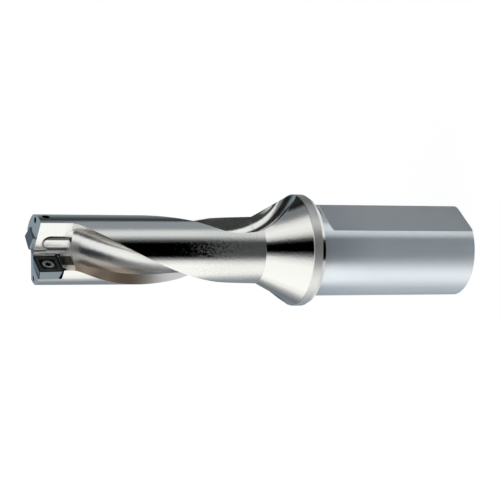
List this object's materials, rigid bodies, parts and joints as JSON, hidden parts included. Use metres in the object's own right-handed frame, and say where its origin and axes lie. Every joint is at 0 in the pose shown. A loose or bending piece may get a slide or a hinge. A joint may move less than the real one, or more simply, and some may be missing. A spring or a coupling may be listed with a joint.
{
  "type": "indexable drill",
  "caption": "Indexable drill with a flatted cylindrical shank, a seating flange, helical chip flutes and square inserts screwed into pockets at its tip.",
  "frame": {"origin": "centre of the shank's end face, on the drill's axis, at the lowest point", "axes": "+Z along the axis to the cutting tip, +Y out of the clamping flat and of the outer insert's rake face, +X towards the outer insert"},
  "size_m": [0.039, 0.039, 0.1601],
  "materials": {
    "body_steel": "polished nickel-like body with a ground satin shank",
    "coated_carbide": "black coated rake face, grey ground flanks",
    "screw_steel": "dark satin"
  },
  "bodies": {
    "root": {"drill_body": "body_steel", "outer_insert": "coated_carbide", "centre_insert": "coated_carbide", "outer_insert_screw": "screw_steel", "centre_insert_screw": "screw_steel"}
  },
  "joints": []
}
